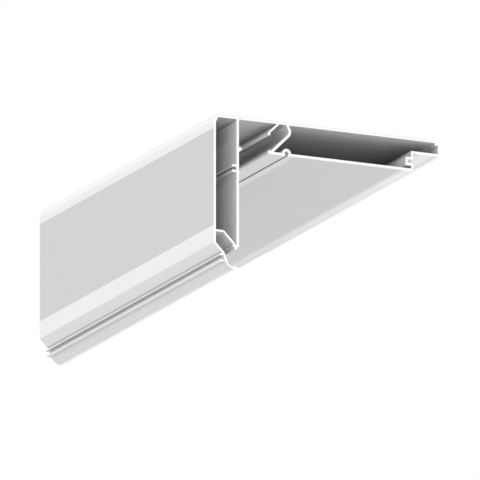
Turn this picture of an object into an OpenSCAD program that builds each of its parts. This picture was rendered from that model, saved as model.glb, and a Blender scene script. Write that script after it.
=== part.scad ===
// Ceiling profile that frames a curtain niche: a hollow extrusion with an end cap and its screws.
// The section is drawn with x from the leg's outer face and y up from the ceiling face, both in
// millimetres, and it runs along the model's Y axis. The origin is the centre of the ceiling face.

/* [Extrusion] */
// Length of the extrusion, from its cut end to the end cap
profile_length = 245; // [60:1:3000]
// Width across the ceiling, from the leg's outer face to the wall edge
section_width = 150; // [120:1:260]
// Height from the ceiling face to the underside of the lip
section_height = 95; // [80:1:200]

/* [Walls] */
// Thickness of the wall that lies on the ceiling
top_wall = 1.6; // [1.2:0.1:2.4]
// Thickness of the leg's outer wall
outer_wall = 1.45; // [1:0.05:2]
// Thickness of the leg's inner wall
inner_wall = 1.6; // [1.2:0.05:2.2]
// Thickness of the arm's lower wall and of the wall over the recess
arm_wall = 1.6; // [1.2:0.05:2]
// Thickness of the wall between the arm and the recess
recess_wall = 1.3; // [1.1:0.05:1.8]
// Thickness of the web between the channel and the arm
web_wall = 1.6; // [1.2:0.05:2.2]
// Thickness of the hook in the channel
hook_wall = 1.15; // [0.8:0.05:1.5]
// Thickness of the flange inside the leg
flange_wall = 1.25; // [0.9:0.05:1.6]
// Thickness of the sloping foot wall and of the wall behind the foot groove
foot_wall = 1.3; // [0.9:0.05:1.6]
// Thickness of the lip
lip_wall = 0.85; // [0.7:0.05:1.4]

/* [Leg] */
// Width of the leg
leg_width = 16.7; // [15:0.1:22]
// Width of the chamfer at the leg's upper corner
chamfer_width = 2.1; // [1:0.1:4]
// Height of the chamfer at the leg's upper corner
chamfer_height = 4; // [1:0.1:8]
// Height of the inner wall's foot above the underside of the lip
foot_rise = 14.55; // [13.5:0.05:16]
// Height of the flange above the underside of the lip
flange_rise = 22.9; // [20:0.1:30]

/* [Lip] */
// Radius of the lip's curve, at the middle of its thickness
lip_radius = 5; // [4:0.1:5.6]
// Length of the flat between the curve and the bead
lip_flat = 0.7; // [0:0.1:2]
// Half the width of the bead along the lip's edge
bead_radius = 0.75; // [0.6:0.05:1]
// Height of the bead along the lip's edge
bead_height = 2.1; // [2:0.1:3]
// How far the bead's centre stands back from the leg's inner face
lip_setback = 2.8; // [1.5:0.1:4]
// Length of the wall between the lip's curve and the sloping foot wall
back_height = 6; // [5.6:0.1:7]
// Lean of that wall from the vertical
back_lean = 22; // [15:1:25]

/* [Foot groove] */
// Clear height of the groove's mouth
groove_mouth = 2.35; // [1.5:0.05:2.5]
// Thickness of the groove's two jaws
groove_jaw = 0.9; // [0.7:0.05:1.1]
// How far the jaws reach out from the middle of the wall behind them
groove_reach = 4.2; // [3:0.1:5]
// Height of the lower jaw's middle above the underside of the lip
groove_rise = 4.75; // [4.4:0.05:5]
// Slope of the upper jaw
groove_slope = 23; // [10:1:30]

/* [Arm and channel] */
// Depth of the arm, from the ceiling face to its underside
arm_drop = 20.8; // [18:0.1:26]
// Clear width of the channel's mouth, between the ridge and the bead
mouth_width = 17; // [10:0.1:22]
// Radius of the bead at the arm's edge
arm_bead_radius = 1.15; // [0.9:0.05:1.4]
// Radius of the ridge's nose on the leg
ridge_radius = 0.85; // [0.6:0.05:1.1]
// How far the ridge stands out from the leg
ridge_reach = 2.05; // [1.5:0.05:2.5]
// How far the web's foot stands back from the middle of the arm's bead
web_setback = 0.85; // [0.4:0.05:1]
// Radius of the web's bend, at the middle of its thickness
web_radius = 3.45; // [2:0.05:4]
// Depth of the web's bend below the ceiling face
web_bend_drop = 5.8; // [5:0.1:7]
// Lean of the web above its bend from the vertical
web_lean = 24; // [10:1:35]

/* [Pockets] */
// Clear width of the two slanting pockets
pocket_width = 8.1; // [6:0.1:9]
// Depth of the hook's elbow below the ceiling face
hook_drop = 7.5; // [6:0.1:9]
// Thickness of the barbs at the pockets' mouths
barb_wall = 0.9; // [0.6:0.05:1.2]
// Height of the heel between the hook's elbow and its barb
hook_heel_drop = 1.1; // [0.9:0.05:1.5]
// How far the heel leans out towards the channel
hook_heel_shift = 0.2; // [0:0.05:0.5]
// How far the hook's barb reaches from the hook's heel
hook_barb_reach = 0.75; // [0.4:0.05:1.2]
// How far the flange's barb reaches from the flange's foot
foot_barb_reach = 2.8; // [2.2:0.1:3.2]
// Width of the nub where it leaves the flange's foot
nub_width = 2.7; // [2:0.05:3]
// Radius of the nub's tip
nub_radius = 0.35; // [0.25:0.05:0.5]
// How far the middle of the nub's tip hangs below the flange's foot
nub_drop = 2.25; // [1:0.05:2.6]

/* [Recess] */
// Width of the recess at the wall side
recess_width = 18; // [10:0.1:26]
// Height of the thin edge above the recess
recess_edge = 9.9; // [8:0.1:11]
// Width of the step at the upper wall edge
rebate_width = 2; // [1:0.1:4]
// Height of the step at the upper wall edge
rebate_height = 1.5; // [0.8:0.1:2.5]

/* [Screw ports] */
// Radius of the screw ports
port_radius = 1.3; // [1.1:0.05:1.4]
// Width of the ports' slots
port_mouth = 1.6; // [1:0.05:1.8]
// How far the lips of a port reach past its hole
port_lip = 0.3; // [0.1:0.05:0.8]
// Thickness of the lips of the port inside the leg
leg_port_wall = 1.1; // [0.8:0.05:1.5]
// Depth of the port inside the leg, below the ceiling face
leg_port_drop = 32.2; // [24:0.1:38]
// Thickness of the dome round the port in the arm
arm_port_wall = 1.6; // [1.2:0.05:2.2]
// Distance from the arm's bead to its port
arm_port_run = 11.35; // [10:0.05:16]
// Height of the port's centre above the arm's underside
arm_port_rise = 1.6; // [1.55:0.05:1.9]
// Thickness of the walls round the port in the recess
recess_port_wall = 1.35; // [1:0.05:1.6]
// Distance from the recess's side wall face to its port
recess_port_depth = 2.3; // [1.9:0.05:3]
// Height of the recess port's centre above the arm's underside
recess_port_rise = 6; // [5.5:0.1:7]

/* [End cap] */
// Thickness of the end cap
cap_thickness = 2; // [1.8:0.1:4]
// Rim of metal that the cap leaves round each screw head
cap_ear = 0.9; // [0.5:0.1:2]
// Depth to which the cap's tongues enter the extrusion
tongue_depth = 5; // [2:0.5:10]
// Thickness of the cap's tongues
tongue_wall = 1.5; // [1:0.1:3]
// Distance from the lower end of the leg's tongue to the flange
leg_tongue_rise = 6; // [3:0.5:9]
// Distance from the end of the arm's tongue to the recess's side wall
arm_tongue_back = 28; // [5:1:30]
// Gap between a tongue and the extrusion
tongue_gap = 0.3; // [0.1:0.05:0.6]

/* [Screws] */
// Radius over the screw's thread
screw_radius = 1.45; // [1.2:0.05:1.5]
// Depth of the screw's thread
thread_depth = 0.35; // [0.1:0.05:0.5]
// Pitch of the screw's thread
thread_pitch = 1.1; // [0.6:0.1:1.6]
// Length of the screw, with its head
screw_length = 13; // [8:0.5:25]
// Radius of the screw's countersunk head
head_radius = 2.75; // [2.2:0.05:3]
// Height of the screw's head
head_height = 1.7; // [1.2:0.1:1.8]
// Length of the arms of the driver's cross
cross_length = 3; // [1.5:0.1:3.6]
// Width of the arms of the driver's cross
cross_width = 0.7; // [0.4:0.05:1]
// Depth of the driver's cross
cross_depth = 1; // [0.5:0.1:1.4]
// Radial gap round the screw in its port and round its head in the cap
screw_gap = 0.05; // [0.02:0.01:0.1]
// Radial gap round the screw's thread in the cap
cap_hole_gap = 0.2; // [0.1:0.05:0.4]

/* [Hidden] */
$fn = 64;

// How far a cut runs past the face that it opens
over = 1;
// Two walls that join lap by this much
lap = 0.2;
// A straight wall runs this far inside a bend's tangent, so that the two cross instead of touching
ease = 0.01;
diagonal = sqrt(2);

// Ends of the extrusion along Y
near_y = -profile_length / 2;
far_y = profile_length / 2;

// Leg
leg_inner_x = leg_width - inner_wall;
inner_foot = [leg_width - inner_wall / 2, foot_rise - section_height];

// Lip, from its bead back to the sloping foot wall
bead = [leg_width - lip_setback, bead_height / 2 - section_height];
lip_centre = [bead.x - lip_flat, bead.y + lip_radius - ease];
lip_start = 180 + back_lean;
lip_top = lip_centre + lip_radius * [cos(lip_start), sin(lip_start)];
back_top = lip_top + back_height * [-sin(back_lean), cos(back_lean)];
outer_corner = [foot_wall / 2, back_top.y + back_top.x - foot_wall / 2];

// Flange, whose slanting part runs beside the sloping foot wall across the lower pocket
lower_pocket_step = diagonal * (pocket_width + (flange_wall + foot_wall) / 2);
flange_sum = back_top.x + back_top.y + lower_pocket_step;
flange_y = flange_rise - section_height;
flange_bend = [flange_sum - flange_y, flange_y];
flange_foot = [flange_sum - inner_foot.y, inner_foot.y];
foot_barb = flange_foot - [foot_barb_reach, barb_wall / 2];
nub_tip = flange_foot - [nub_radius / 2, nub_drop];

// Groove at the foot, whose jaws stand on the wall between the lip and the sloping foot wall
groove_y = groove_rise - section_height;
lower_jaw_root = [back_x(groove_y), groove_y];
lower_jaw_tip = lower_jaw_root - [groove_reach - groove_jaw / 2, 0];
upper_jaw_tip = lower_jaw_tip + [0, groove_mouth + groove_jaw];
jaw_cross = tan(back_lean) * tan(groove_slope);
upper_root_x = (back_x(upper_jaw_tip.y) + jaw_cross * upper_jaw_tip.x) / (1 + jaw_cross);
upper_jaw_root = upper_jaw_tip + (upper_root_x - upper_jaw_tip.x) * [1, tan(groove_slope)];

// Channel, web and hook
arm_y = -arm_drop;
ridge_nose = [leg_width + ridge_reach - ridge_radius, arm_y + arm_bead_radius];
ridge_slope = 40;
ridge_root = leg_width - ridge_radius / 2;
arm_bead = [leg_width + ridge_reach + mouth_width + arm_bead_radius, arm_y + arm_bead_radius];
web_foot = [arm_bead.x + web_setback, arm_y + (web_wall + lap) / 2];
web_run = web_radius - ease;
web_centre = [web_foot.x - web_foot.y - web_bend_drop - diagonal * web_run, -web_bend_drop];
web_end = web_centre + web_run * [cos(45), -sin(45)];
web_start = web_centre + web_run * [cos(web_lean), sin(web_lean)];
web_root_rise = -lap - web_wall / 2 * sin(web_lean) - web_start.y;
web_root = web_start + web_root_rise * [-tan(web_lean), 1];
upper_pocket_step = diagonal * (pocket_width + (hook_wall + web_wall) / 2);
hook_difference = web_foot.x - web_foot.y - upper_pocket_step;
hook_root_y = -hook_wall / 2 - lap;
hook_root = [hook_difference + hook_root_y, hook_root_y];
hook_elbow = [hook_difference - hook_drop, -hook_drop];
hook_heel = hook_elbow - [hook_heel_shift, hook_heel_drop];
hook_barb = hook_heel + [hook_barb_reach, 0];

// Recess at the wall side
recess_x = section_width - recess_width;
edge_y = -recess_edge;

// Centres of the screw ports, and the way that each slot faces, as an angle
leg_port = [leg_inner_x - port_radius + lap / 4, -leg_port_drop];
arm_port = [arm_bead.x + arm_port_run, arm_y + arm_port_rise];
recess_port = [recess_x - recess_port_depth, arm_y + recess_port_rise];

// Screws and the holes that take them
formed_radius = screw_radius + screw_gap;
formed_depth = screw_length - cap_thickness + over;
cap_hole_radius = screw_radius + cap_hole_gap;
screw_ports = [leg_port, arm_port, recess_port];
tip_length = 1.5;

// Middle of the wall between the lip and the sloping foot wall, at a given height
function back_x(y) = lip_top.x - tan(back_lean) * (y - lip_top.y);

// A wall of one thickness between two points, with round ends
module wall(from, to, thickness) {
    way = to - from;
    translate(from) rotate(atan2(way.y, way.x)) {
        translate([0, -thickness / 2]) square([norm(way), thickness]);
        circle(d = thickness);
        translate([norm(way), 0]) circle(d = thickness);
    }
}

// How far a straight wall and a bend run into each other past the point where they meet
function bend_lap(radius) = sqrt(2 * ease * radius);

// A wall of one thickness from the end of a bend to a point, with square ends
module wall_from_bend(from, to, thickness, radius) {
    way = to - from;
    start = bend_lap(radius);
    translate(from) rotate(atan2(way.y, way.x)) translate([-start, -thickness / 2])
        square([norm(way) + start, thickness]);
}

// A curved wall of one thickness about a centre, from one angle to another less than 110 further
module bend(centre, radius, thickness, from, to) {
    reach = 3 * radius;
    middle = (from + to) / 2;
    past = bend_lap(radius) / radius * 180 / PI;
    translate(centre) intersection() {
        difference() {
            circle(radius + thickness / 2);
            circle(radius - thickness / 2);
        }
        polygon([[0, 0], reach * [cos(from - past), sin(from - past)],
                 reach * [cos(middle), sin(middle)], reach * [cos(to + past), sin(to + past)]]);
    }
}

// A rectangle from its lower left corner to its upper right corner
module block(low, high) {
    translate(low) square(high - low);
}

// The two lips of a port whose slot faces left, about the centre of its hole
module port_lips(thickness, back) {
    tip = -(port_radius + port_lip - thickness / 2);
    for (side = [-1, 1])
        wall([tip, side * (port_radius + thickness / 2)],
             [back, side * (port_radius + thickness / 2)], thickness);
}

// The round hole of a port and its slot, which faces the given angle
module port_hole(centre, facing, slot_length) {
    translate(centre) {
        circle(port_radius);
        rotate(facing) translate([0, -port_mouth / 2]) square([slot_length, port_mouth]);
    }
}

// The wall that runs from the arm's bead round the recess and over the top to the leg's outer
// corner, by way of its outer face and back by way of its inner face
module shell_section() {
    step = rebate_height + top_wall;
    step_x = section_width - rebate_width - top_wall;
    edge_x = section_width - top_wall;
    inner_chamfer = chamfer_height + outer_wall / 2;
    polygon([[arm_bead.x, arm_y], [recess_x, arm_y], [recess_x, edge_y], [section_width, edge_y],
             [section_width, -rebate_height], [section_width - rebate_width, -rebate_height],
             [section_width - rebate_width, 0], [chamfer_width, 0], [0, -chamfer_height],
             [0, outer_corner.y], [outer_wall, outer_corner.y], [outer_wall, -inner_chamfer],
             [chamfer_width + top_wall / 2, -top_wall],
             [step_x, -top_wall], [step_x, -step], [edge_x, -step], [edge_x, edge_y + arm_wall],
             [recess_x - recess_wall, edge_y + arm_wall], [recess_x - recess_wall, arm_y + arm_wall],
             [arm_bead.x, arm_y + arm_wall]]);
}

// The leg's inner wall, the ridge on it that faces the channel, and the port inside the leg
module leg_section() {
    block([leg_inner_x, inner_foot.y], [leg_width, -lap]);
    translate(inner_foot) circle(d = inner_wall);
    wall([ridge_root, ridge_nose.y], ridge_nose, 2 * ridge_radius);
    wall(ridge_nose - ridge_reach * [cos(ridge_slope), sin(ridge_slope)], ridge_nose,
         2 * ridge_radius);
    translate(leg_port) {
        port_lips(leg_port_wall, inner_foot.x - leg_port.x);
        block([-port_radius - port_lip / 2, -port_radius - lap],
              [inner_foot.x - leg_port.x, port_radius + lap]);
    }
}

// The flange with its barb and nub, the sloping foot wall, the lip and the groove between them
module foot_section() {
    wall([flange_wall / 2 + lap, flange_y], flange_bend, flange_wall);
    wall(flange_bend, flange_foot, flange_wall);
    wall(flange_foot, inner_foot, inner_wall);
    polygon([foot_barb, [flange_foot.x, foot_barb.y], flange_foot + [0, barb_wall],
             flange_foot + [-foot_barb_reach / 2, barb_wall]]);
    polygon([[nub_tip.x - nub_width / 2, foot_barb.y], nub_tip - [nub_radius, 0],
             nub_tip + [nub_radius, 0], [nub_tip.x + nub_width / 2, foot_barb.y], flange_foot]);
    translate(nub_tip) circle(nub_radius);
    wall(outer_corner, back_top, foot_wall);
    wall(back_top, lip_top, foot_wall);
    bend(lip_centre, lip_radius, lip_wall, lip_start, 270);
    wall_from_bend([lip_centre.x, bead.y], bead, lip_wall, lip_radius);
    bead_rise = bead_height / 2 - bead_radius;
    wall(bead - [0, bead_rise], bead + [0, bead_rise], 2 * bead_radius);
    wall(lower_jaw_root, lower_jaw_tip, groove_jaw);
    wall(upper_jaw_root, upper_jaw_tip, groove_jaw);
}

// The hook and the web, which hold the upper pocket between them, and the bead below the web
module channel_section() {
    wall(hook_root, hook_elbow, hook_wall);
    wall(hook_elbow, hook_heel, hook_wall);
    wall(hook_heel, hook_barb, barb_wall);
    wall_from_bend(web_start, web_root, web_wall, web_radius);
    bend(web_centre, web_radius, web_wall, -45, web_lean);
    wall_from_bend(web_end, web_foot, web_wall, web_radius);
    translate(web_foot) circle(d = web_wall);
    translate(arm_bead) circle(arm_bead_radius);
}

// The metal round the two ports that open from the arm
module arm_port_section() {
    intersection() {
        translate(arm_port) circle(port_radius + arm_port_wall);
        block([arm_bead.x, arm_y + lap], [recess_x, -lap]);
    }
    half = port_radius + recess_port_wall;
    block(recess_port - [half, half], [recess_x - lap, recess_port.y + half]);
}

// The whole section
module section() {
    difference() {
        union() {
            shell_section();
            leg_section();
            foot_section();
            channel_section();
            arm_port_section();
        }
        port_hole(leg_port, 180, port_radius + port_lip + over);
        port_hole(arm_port, 270, arm_port_rise + over);
        port_hole(recess_port, 0, recess_port_depth + over);
    }
}

// Outline of the end cap: the section with all but the foot groove filled, and an ear round each
// screw head
module cap_outline() {
    foot_section();
    polygon([[0, outer_corner.y], outer_corner, back_top, lip_top, lip_centre,
             [lip_centre.x, bead.y], bead,
             [bead.x, inner_foot.y - inner_wall], [inner_foot.x, inner_foot.y],
             [leg_width, inner_foot.y], [leg_width, arm_y], [recess_x, arm_y], [recess_x, edge_y],
             [section_width, edge_y], [section_width, -rebate_height],
             [section_width - rebate_width, -rebate_height], [section_width - rebate_width, 0],
             [chamfer_width, 0], [0, -chamfer_height]]);
    intersection() {
        translate(lip_centre) circle(lip_radius);
        block([lip_top.x, bead.y], lip_centre);
    }
    for (port = screw_ports)
        translate(port) circle(head_radius + cap_ear);
}

// Sets a drawing of the section upright and runs it along Y from one place for a given length
module run(from_y, run_length) {
    translate([-section_width / 2, from_y + run_length, 0])
        rotate([90, 0, 0])
            linear_extrude(run_length)
                children();
}

// Sets a turned piece on a port's axis, with its own zero at a place along Y and pointing to -Y
module on_port(port, at_y) {
    translate([port.x - section_width / 2, at_y, port.y]) rotate([90, 0, 0]) children();
}

// The extrusion, with the threads' stretch of three ports opened to the screws' radius
module profile() {
    color("gainsboro") difference() {
        run(near_y, profile_length) section();
        for (port = screw_ports)
            on_port(port, far_y + over) cylinder(r = formed_radius, h = formed_depth + over);
    }
}

// The cap's plate and the two tongues that centre it in the extrusion's hollows
module end_cap() {
    leg_tongue_x = outer_wall + tongue_gap;
    leg_tongue_top = -leg_port_drop - port_radius - 2 * leg_port_wall;
    leg_tongue_foot = flange_y + flange_wall / 2 + leg_tongue_rise;
    arm_tongue_y = -top_wall - tongue_gap;
    arm_tongue_x = arm_port.x + port_radius + 2 * arm_port_wall;
    arm_tongue_end = recess_x - recess_wall - arm_tongue_back;
    color("lightgray") difference() {
        union() {
            run(far_y, cap_thickness) cap_outline();
            run(far_y - tongue_depth, tongue_depth + lap) {
                block([leg_tongue_x, leg_tongue_foot],
                      [leg_tongue_x + tongue_wall, leg_tongue_top]);
                block([arm_tongue_x, arm_tongue_y - tongue_wall],
                      [arm_tongue_end, arm_tongue_y]);
            }
        }
        for (port = screw_ports)
            on_port(port, far_y + cap_thickness) {
                translate([0, 0, -over]) cylinder(r = cap_hole_radius, h = cap_thickness + 2 * over);
                cylinder(r1 = head_radius + screw_gap, r2 = cap_hole_radius, h = head_height);
            }
    }
}

// A self-tapping screw with a countersunk head, its head's face at zero and its tip along +Z
module cap_screw() {
    root = screw_radius - thread_depth;
    turns = floor((screw_length - tip_length - head_height) / thread_pitch);
    thread_start = screw_length - tip_length - turns * thread_pitch;
    thread = [for (turn = [0 : turns - 1], half = [0, 1])
        [half == 0 ? root : screw_radius, thread_start + (turn + half / 2) * thread_pitch]];
    difference() {
        rotate_extrude()
            polygon(concat([[0, 0], [head_radius, 0], [root, head_height]], thread,
                           [[root, screw_length - tip_length], [0, screw_length]]));
        for (turn = [0, 90])
            rotate(turn) translate([-cross_length / 2, -cross_width / 2, -over])
                cube([cross_length, cross_width, cross_depth + over]);
    }
}

// The screw in the port inside the leg
module screw_leg() {
    color("silver") on_port(leg_port, far_y + cap_thickness) cap_screw();
}

// The screw in the port of the arm
module screw_arm() {
    color("silver") on_port(arm_port, far_y + cap_thickness) cap_screw();
}

// The screw in the port of the recess
module screw_recess() {
    color("silver") on_port(recess_port, far_y + cap_thickness) cap_screw();
}

profile();
end_cap();
screw_leg();
screw_arm();
screw_recess();
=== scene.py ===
# Looks of the curtain niche profile: anodised aluminium, saw-cut end, end cap and zinc screws.
import math

import bpy
from mathutils import Matrix, Vector


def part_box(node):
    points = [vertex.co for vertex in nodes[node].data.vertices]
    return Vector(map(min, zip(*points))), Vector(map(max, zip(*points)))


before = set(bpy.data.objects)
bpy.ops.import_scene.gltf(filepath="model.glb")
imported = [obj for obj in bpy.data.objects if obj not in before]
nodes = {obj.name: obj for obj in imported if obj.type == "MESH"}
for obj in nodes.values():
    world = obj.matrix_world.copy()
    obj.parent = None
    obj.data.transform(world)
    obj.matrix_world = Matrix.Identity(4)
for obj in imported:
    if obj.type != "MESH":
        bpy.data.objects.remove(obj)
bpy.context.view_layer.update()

MILLIMETRE = 0.001

# Camera. The photograph is a parallel projection, and its frame is this wide and high, in metres.
VIEW_WIDTH = 0.288
AZIMUTH = math.radians(-25)
ELEVATION = math.radians(-15)
# Where the frame's centre lies from the row's origin, along the image's right and up
CENTRE_RIGHT = -0.00044
CENTRE_UP = -0.0388
CAMERA_DISTANCE = 1.2
CAMERA_REACH = 20

# Light and floor, in metres and watts
LIGHT_PLACE = (0.1, -1.8, 0.1)
LIGHT_TARGET = (0, -0.12, -0.04)
LIGHT_SIZE = 0.7
LIGHT_POWER = 9
FLOOR_Z = -0.62
FLOOR_HALF = 4.0
FLOOR_TONES = (0.80, 0.83)
FLOOR_ROUGHNESS = 0.8

# Landmarks of the extrusion, in metres in the row frame
LEG_FACE_X = -0.075
CUT_Y = -0.1225
CEILING_Z = 0.0

# Tones of the metal, as linear light
MAIN_TONE = 0.665
CUT_TONE = 0.74
BRIGHTEST_TONE = 0.97
# How much bluer than grey the metal is
COOL = 1.02
# Share of its tone that the ceiling face keeps, and the heights between which that sets in
CEILING_SHARE = 0.80
CEILING_RISE = (CEILING_Z - 0.0005, CEILING_Z - 0.0002)

# Surface of the anodised metal
ANODISED_ROUGHNESS = (0.40, 0.50)
ANODISED_METALLIC = 0.25
ANODISED_RELIEF = 0.00001
# How often the lines repeat in a metre, across them and along them
FINE_LINES = (2600, 6)
BROAD_LINES = (420, 1.5)
SPECKLE_SCALE = 5200
# How far the lines, the speckle and the cut's grit change the tone
LINE_SHARE = (0.985, 1.015)
SPECKLE_SHARE = (0.99, 1.01)
GRIT_SHARE = (0.985, 1.01)
# Heights of the lines and of the speckle in the relief
LINE_HEIGHT = 0.5
SPECKLE_HEIGHT = 0.3

# Saw cut: how deep it reaches, the arcs of the saw, how far they change the tone, the grit between
# them, and how much smoother the cut is than the faces
CUT_DEPTH = (CUT_Y + 0.0002, CUT_Y + 0.0005)
SAW_CENTRE = (0.21, 0.0, 0.30)
SAW_ARCS = {"Scale": 130.0, "Distortion": 1.2, "Detail": 2.0, "Detail Scale": 2.0,
            "Detail Roughness": 0.6}
ARC_SHARE = (0.97, 1.02)
GRIT_SCALE = 1800
CUT_ROUGHNESS = -0.06

# Zinc plating: turning rings, cloudy tint, and the depth of the cross recess under the head's face,
# with the painted shade in it
TURNING_RINGS = {"Scale": 900.0, "Distortion": 0.6, "Detail": 1.0}
RING_SHARE = (0.94, 1.0)
CLOUD_SCALE = 700
ZINC_BLUE = (0.56, 0.57, 0.60, 1)
ZINC_YELLOW = (0.66, 0.65, 0.60, 1)
ZINC_ROUGHNESS = (0.24, 0.36)
ZINC_RELIEF = 0.000008
RECESS_DEPTH = 0.0009
RECESS_EDGE = 0.0001
RECESS_SHADE_SHARE = 0.45

BUMP_STRENGTH = 0.5
NOISE_ROUGHNESS = 0.55
# The part of a noise's range in which nearly all its values lie
NOISE_SPAN = (0.3, 0.7)
# Between these shares of its normal along X or Y, a face turns towards the leg's outer side, the cut
# or the far end
TOWARD_LEFT = (-0.9, -0.6)
TOWARD_CUT = (-0.9, -0.7)
TOWARD_FAR_END = (0.7, 0.9)

# Stretches of the section with a tone of their own, painted to stand in for light and shade: the
# lighter ones are painted highlights and reflections, the darker ones painted shade. In millimetres of
# the section: x from, x to, z from, z to, softness of the border across and upward, then the tone at
# the cut and how much of it is left at the far end.
PAINTED_LIGHT_ZONES = {
    "chamfer": (-1, 2.6, -4.1, 1, 0.15, 0.15, 0.95, 1.0),
    "upper_band": (-1, 0.8, -8.6, -4.0, 0.15, 0.15, 0.90, 1.0),
    "lower_band": (-1, 0.8, -79.8, -69.0, 0.15, 0.15, 0.90, 1.0),
    "foot_slope": (-1, 6.3, -86.0, -79.8, 0.2, 0.2, 0.81, 1.0),
    "foot_shade": (2.0, 6.3, -85.35, -84.5, 0.9, 0.3, 0.56, 1.0),
    "foot_edge": (5.0, 6.5, -86.3, -85.37, 0.2, 0.08, 0.97, 1.0),
    "groove": (3.9, 6.4, -89.8, -86.95, 0.2, 0.1, 0.56, 1.05),
    "groove_foot": (4.9, 7.4, -88.8, -87.97, 0.2, 0.1, 0.95, 1.0),
    "nub_root": (12.9, 14.7, -81.7, -80.8, 0.3, 0.2, 0.40, 1.0),
    "nub_face": (12.9, 14.7, -82.5, -81.7, 0.3, 0.2, 0.57, 1.0),
    "nub_foot": (12.9, 15.9, -84.0, -82.5, 0.2, 0.2, 0.97, 1.0),
    "hook_heel": (35.6, 36.9, -9.2, -7.0, 0.1, 0.1, 0.93, 0.7),
    "upper_jaw": (3.5, 4.9, -86.95, -86.2, 0.2, 0.1, 0.95, 1.0),
    "lower_jaw": (3.5, 5.4, -91.0, -89.6, 0.3, 0.3, 0.87, 0.98),
    "lip": (5.6, 13.0, -95.0, -91.0, 0.5, 0.3, 0.76, 1.0),
    "bead": (13.0, 15.0, -96.0, -92.6, 0.2, 0.2, 0.92, 1.0),
    "arm_strip": (36.0, 47.3, -21.4, -20.2, 0.2, 0.2, 0.77, 1.0),
    "port_band": (49.0, 54.0, -21.4, -20.2, 1.2, 0.3, 0.80, 1.0),
    "edge_band": (124.8, 133.0, -21.4, -20.2, 2.2, 0.3, 0.95, 0.84),
    "recess_ceiling": (134.5, 146.2, -10.3, -9.5, 2.0, 0.3, 0.95, 1.0),
    "recess_strip": (147.4, 151.0, -10.3, -9.5, 0.3, 0.3, 0.98, 1.0),
}
# Painted light and shade inside the hollows: faces painted lighter or darker near the cut, or away from
# it where the first depth is the larger, standing in for how light reaches in there. In millimetres: x
# from, x to, z from, z to and softness as above, the depth where the gain is full and the one where it
# ends. Then come the gain of a face that looks towards the leg's outer side and that of any other face.
PAINTED_HOLLOW_LIGHT = {
    "leg": (11.9, 15.8, -78.0, -3.0, 0.1, 0.1, 10, 32, 0.60, 0.0),
    "leg_top": (11.9, 15.8, -13.0, 4.0, 0.1, 4.0, 14, 5, -0.17, 0.0),
    "under_port": (11.9, 15.8, -38.5, -33.5, 0.1, 2.5, 8, 3, -0.13, -0.13),
    "foot_pocket": (5.5, 14.5, -79.9, -71.0, 1.5, 0.1, 0, 9, 0.16, 0.16),
    "foot_pocket_deep": (2.0, 12.9, -79.9, -71.0, 0.1, 0.1, 14, 7, -0.10, -0.10),
    "nub": (12.9, 14.7, -82.5, -80.8, 0.3, 0.3, 1, 11, 0.7, 0.7),
    "pocket": (39.0, 49.8, -14.0, -1.9, 0.1, 0.1, 0, 20, 0.40, 0.0),
    "pocket_low": (41.0, 49.8, -14.0, -8.0, 0.1, 0.5, 16, 7, -0.17, -0.17),
    "pocket_ceiling": (41.0, 47.0, -2.2, -1.0, 0.1, 0.1, 0, 14, 0.0, -0.25),
    "arm": (50.0, 131.7, -20.2, -1.0, 0.1, 0.1, 0, 24, 0.30, 0.17),
    "port_block": (126.6, 127.6, -17.4, -12.0, 0.1, 0.1, 0, 40, 0.25, 0.0),
    "recess_port": (127.6, 131.2, -16.4, -13.2, 0.1, 0.1, 0, 40, 0.9, 0.9),
    "notch": (127.6, 131.0, -19.6, -17.4, 0.1, 0.1, 0, 24, -0.50, -0.2),
    "thin_edge": (131.7, 147.6, -9.2, -1.0, 0.1, 0.1, 0, 24, 0.10, 0.22),
    "thin_edge_deep": (137.0, 149.0, -2.6, -1.0, 2.5, 0.1, 26, 14, -0.17, -0.17),
    "heel_deep": (35.5, 37.0, -9.5, -7.0, 0.1, 0.1, 45, 15, -0.18, -0.18),
    "thin_edge_wall": (148.0, 149.0, -9.2, -2.0, 0.1, 0.1, 2, 9, 0.40, 0.0),
}


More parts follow.
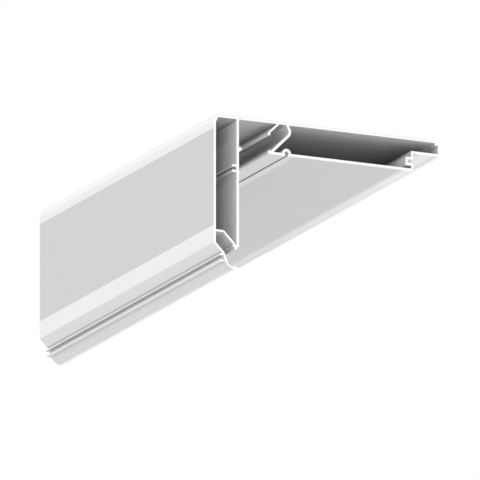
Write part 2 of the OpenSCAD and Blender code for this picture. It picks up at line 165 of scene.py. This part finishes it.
class Nodes:
    """Builds one material's node tree in short calls."""

    def __init__(self, name):
        self.material = bpy.data.materials.new(name)
        self.material.use_nodes = True
        self.tree = self.material.node_tree
        self.shader = self.tree.nodes["Principled BSDF"]
        coordinates = self.tree.nodes.new("ShaderNodeTexCoord").outputs
        self.place = coordinates["Object"]
        self.normal = coordinates["Normal"]

    def add(self, kind, inputs=None, **settings):
        node = self.tree.nodes.new(kind)
        for name, value in settings.items():
            setattr(node, name, value)
        for key, value in (inputs or {}).items():
            self.set(node.inputs[key], value)
        return node

    def set(self, socket, value):
        if isinstance(value, bpy.types.NodeSocket):
            self.tree.links.new(value, socket)
        else:
            socket.default_value = value

    def finish_with(self, values):
        for name, value in values.items():
            self.set(self.shader.inputs[name], value)
        return self.material

    def math(self, operation, a, b):
        return self.add("ShaderNodeMath", {0: a, 1: b}, operation=operation).outputs[0]

    def times(self, a, b):
        return self.math("MULTIPLY", a, b)

    def scaled(self, scale, offset=(0, 0, 0)):
        node = self.add("ShaderNodeMapping", {"Vector": self.place, "Scale": scale, "Location": offset})
        return node.outputs[0]

    def axes(self, vector):
        return self.add("ShaderNodeSeparateXYZ", {0: vector}).outputs

    def noise(self, vector, detail=3.0):
        node = self.add("ShaderNodeTexNoise", {"Vector": vector, "Scale": 1.0, "Detail": detail,
                                               "Roughness": NOISE_ROUGHNESS})
        return node.outputs["Fac"]

    def rings(self, vector, settings):
        """Rings round the Y axis."""
        return self.add("ShaderNodeTexWave", {"Vector": vector, **settings},
                        wave_type="RINGS", rings_direction="Y").outputs["Fac"]

    def remap(self, value, low, high, to_low=0.0, to_high=1.0, smooth=True):
        kind = "SMOOTHSTEP" if smooth else "LINEAR"
        node = self.add("ShaderNodeMapRange",
                        {"Value": value, "From Min": low, "From Max": high,
                         "To Min": to_low, "To Max": to_high}, interpolation_type=kind)
        return node.outputs["Result"]

    def spread(self, noise, span, low=NOISE_SPAN[0], high=NOISE_SPAN[1]):
        """Spreads a noise evenly over a span of values."""
        return self.remap(noise, low, high, span[0], span[1], smooth=False)

    def mix(self, factor, a, b, blend="MIX"):
        return self.add("ShaderNodeMix", {0: factor, 6: a, 7: b},
                        data_type="RGBA", blend_type=blend).outputs[2]

    def toward(self, value, target, factor):
        return self.add("ShaderNodeMix", {0: factor, 2: value, 3: target}, data_type="FLOAT").outputs[0]

    def grey(self, value, blue=1.0):
        node = self.add("ShaderNodeCombineColor", {0: value, 1: value, 2: self.times(value, blue)})
        return node.outputs[0]

    def bump(self, height, distance):
        node = self.add("ShaderNodeBump",
                        {"Height": height, "Distance": distance, "Strength": BUMP_STRENGTH})
        return node.outputs["Normal"]

    def band(self, value, low, high, soft):
        rise = self.remap(value, low - soft, low + soft)
        fall = self.remap(value, high - soft, high + soft, 1.0, 0.0)
        return self.times(rise, fall)

    def stretch(self, x, z, x_from, x_to, z_from, z_to, soft_across, soft_upward):
        """Mask of a stretch of the section, given in millimetres from the leg's outer face."""
        across = self.band(x, x_from * MILLIMETRE + LEG_FACE_X, x_to * MILLIMETRE + LEG_FACE_X,
                           soft_across * MILLIMETRE)
        upward = self.band(z, z_from * MILLIMETRE, z_to * MILLIMETRE, soft_upward * MILLIMETRE)
        return self.times(across, upward)


def lengthwise(along_y, lines):
    """Scale of a noise whose lines run along Y, or along X."""
    across, along = lines
    return (across, along, across) if along_y else (along, across, across)


def anodised(name, along_y):
    """Satin anodised aluminium with die or brush lines, zones of painted highlights and shade, painted
    light and shade in the hollows, and a raw saw-cut end.
    """
    m = Nodes(name)
    lines = m.noise(m.scaled(lengthwise(along_y, FINE_LINES)), detail=2.0)
    drifts = m.noise(m.scaled(lengthwise(along_y, BROAD_LINES), (0.3, 0.1, 0.7)))
    speckle = m.noise(m.scaled((SPECKLE_SCALE,) * 3), detail=1.0)
    x, y, z = m.axes(m.place)
    normal_across, normal_along = m.axes(m.normal)[:2]

    # Tone of the faces, with painted highlights and shade zone by zone and then painted light and shade
    # hollow by hollow
    level = MAIN_TONE
    # Each zone paints a highlight or a shade into the base colour
    for *place, tone_near, share_far in PAINTED_LIGHT_ZONES.values():
        painted_zone_tone = m.remap(y, CUT_Y, -CUT_Y, tone_near, tone_near * share_far, smooth=False)
        level = m.toward(level, painted_zone_tone, m.stretch(x, z, *place))
    depth = m.times(m.math("SUBTRACT", y, CUT_Y), 1 / MILLIMETRE)
    # Each hollow paints light near the cut or shade deeper in, by which way a face looks, into the base
    # colour
    for *place, full_depth, end_depth, gain_left, gain_other in PAINTED_HOLLOW_LIGHT.values():
        near = m.remap(depth, full_depth, end_depth, 1.0, 0.0)
        gain = m.times(near, m.remap(normal_across, *TOWARD_LEFT, gain_left, gain_other))
        gain = m.times(gain, m.stretch(x, z, *place))
        level = m.times(level, m.math("ADD", 1.0, gain))
    level = m.toward(level, MAIN_TONE, m.remap(normal_along, *TOWARD_FAR_END))
    for change in (m.spread(lines, LINE_SHARE), m.spread(drifts, LINE_SHARE),
                   m.spread(speckle, SPECKLE_SHARE, 0.35, 0.65)):
        level = m.times(level, change)
    ceiling_share = m.remap(z, *CEILING_RISE, 1.0, CEILING_SHARE)
    level = m.math("MINIMUM", m.times(level, ceiling_share), BRIGHTEST_TONE)

    # Saw cut
    cut = m.times(m.remap(normal_along, *TOWARD_CUT, 1.0, 0.0), m.remap(y, *CUT_DEPTH, 1.0, 0.0))
    arcs = m.rings(m.scaled((1, 1, 1), SAW_CENTRE), SAW_ARCS)
    grit = m.noise(m.scaled((GRIT_SCALE,) * 3, (0.5, 0.2, 0.1)), detail=2.0)
    arc_tone = m.remap(arcs, 0.0, 1.0, CUT_TONE * ARC_SHARE[0], CUT_TONE * ARC_SHARE[1], smooth=False)
    sawn = m.times(m.times(arc_tone, m.spread(grit, GRIT_SHARE)), ceiling_share)
    level = m.toward(level, sawn, cut)

    relief = m.math("ADD", m.times(lines, LINE_HEIGHT), m.times(speckle, SPECKLE_HEIGHT))
    relief = m.math("ADD", m.times(relief, m.math("SUBTRACT", 1.0, cut)), m.times(cut, arcs))
    return m.finish_with({
        "Base Color": m.grey(level, COOL),
        "Roughness": m.math("ADD", m.spread(drifts, ANODISED_ROUGHNESS), m.times(cut, CUT_ROUGHNESS)),
        "Metallic": ANODISED_METALLIC,
        "Normal": m.bump(relief, ANODISED_RELIEF),
    })


def zinc(name, centre_x, centre_z, head_y):
    """Bright zinc-plated steel with turning rings round the screw's own axis and painted shade in its
    cross recess.
    """
    m = Nodes(name)
    rings = m.rings(m.scaled((1, 1, 1), (-centre_x, 0, -centre_z)), TURNING_RINGS)
    cloud = m.noise(m.scaled((CLOUD_SCALE,) * 3))
    y = m.axes(m.place)["Y"]
    # Painted shade in the cross recess: darker below the head's face
    shade = m.remap(y, head_y - RECESS_DEPTH, head_y - RECESS_EDGE, RECESS_SHADE_SHARE, 1.0)
    shade = m.times(shade, m.remap(rings, 0, 1, *RING_SHARE, smooth=False))
    tint = m.mix(m.remap(cloud, 0.35, 0.65), ZINC_BLUE, ZINC_YELLOW)
    return m.finish_with({
        "Base Color": m.mix(1.0, tint, m.grey(shade), "MULTIPLY"),
        "Metallic": 1.0,
        "Roughness": m.spread(cloud, ZINC_ROUGHNESS),
        "Normal": m.bump(rings, ZINC_RELIEF),
    })


def dress(node, material):
    mesh = nodes[node].data
    if mesh.materials:
        for slot in range(len(mesh.materials)):
            mesh.materials[slot] = material
    else:
        mesh.materials.append(material)


dress("profile", anodised("anodised_profile", along_y=True))
dress("end_cap", anodised("anodised_cap", along_y=False))
for screw in ("screw_leg", "screw_arm", "screw_recess"):
    low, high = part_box(screw)
    dress(screw, zinc("zinc_" + screw, (low.x + high.x) / 2, (low.z + high.z) / 2, high.y))


def place_in_scene(name, data):
    thing = bpy.data.objects.new(name, data)
    bpy.context.scene.collection.objects.link(thing)
    return thing


# Camera
ahead = Vector((-math.sin(AZIMUTH) * math.cos(ELEVATION), math.cos(AZIMUTH) * math.cos(ELEVATION),
                -math.sin(ELEVATION)))
right = Vector((math.cos(AZIMUTH), math.sin(AZIMUTH), 0))
up = right.cross(ahead)
camera_data = bpy.data.cameras.new("camera")
camera_data.type = "ORTHO"
camera_data.ortho_scale = VIEW_WIDTH
camera_data.clip_end = CAMERA_REACH
camera = place_in_scene("camera", camera_data)
turn = Matrix((right, up, -ahead)).transposed().to_4x4()
centre = CENTRE_RIGHT * right + CENTRE_UP * up
camera.matrix_world = Matrix.Translation(centre - CAMERA_DISTANCE * ahead) @ turn
bpy.context.scene.camera = camera

# Light
light = bpy.data.lights.new("front_softbox", "AREA")
light.shape = "SQUARE"
light.size = LIGHT_SIZE
light.energy = LIGHT_POWER
lamp = place_in_scene("front_softbox", light)
lamp.location = LIGHT_PLACE
facing = Vector(LIGHT_TARGET) - Vector(LIGHT_PLACE)
lamp.rotation_euler = facing.to_track_quat("-Z", "Y").to_euler()

world = bpy.data.worlds.new("studio")
world.use_nodes = True
background = world.node_tree.nodes["Background"]
background.inputs["Color"].default_value = (1, 1, 1, 1)
background.inputs["Strength"].default_value = 1.0
bpy.context.scene.world = world
bpy.context.scene.view_settings.view_transform = "Standard"

# Floor
corners = [(-1, -1), (1, -1), (1, 1), (-1, 1)]
floor_mesh = bpy.data.meshes.new("floor")
floor_mesh.from_pydata([(FLOOR_HALF * x, FLOOR_HALF * y, FLOOR_Z) for x, y in corners],
                       [], [(0, 1, 2, 3)])
floor = place_in_scene("floor", floor_mesh)
pale = Nodes("pale_floor")
floor_mesh.materials.append(pale.finish_with({
    "Base Color": pale.grey(pale.spread(pale.noise(pale.scaled((3, 3, 3))), FLOOR_TONES)),
    "Roughness": FLOOR_ROUGHNESS,
}))
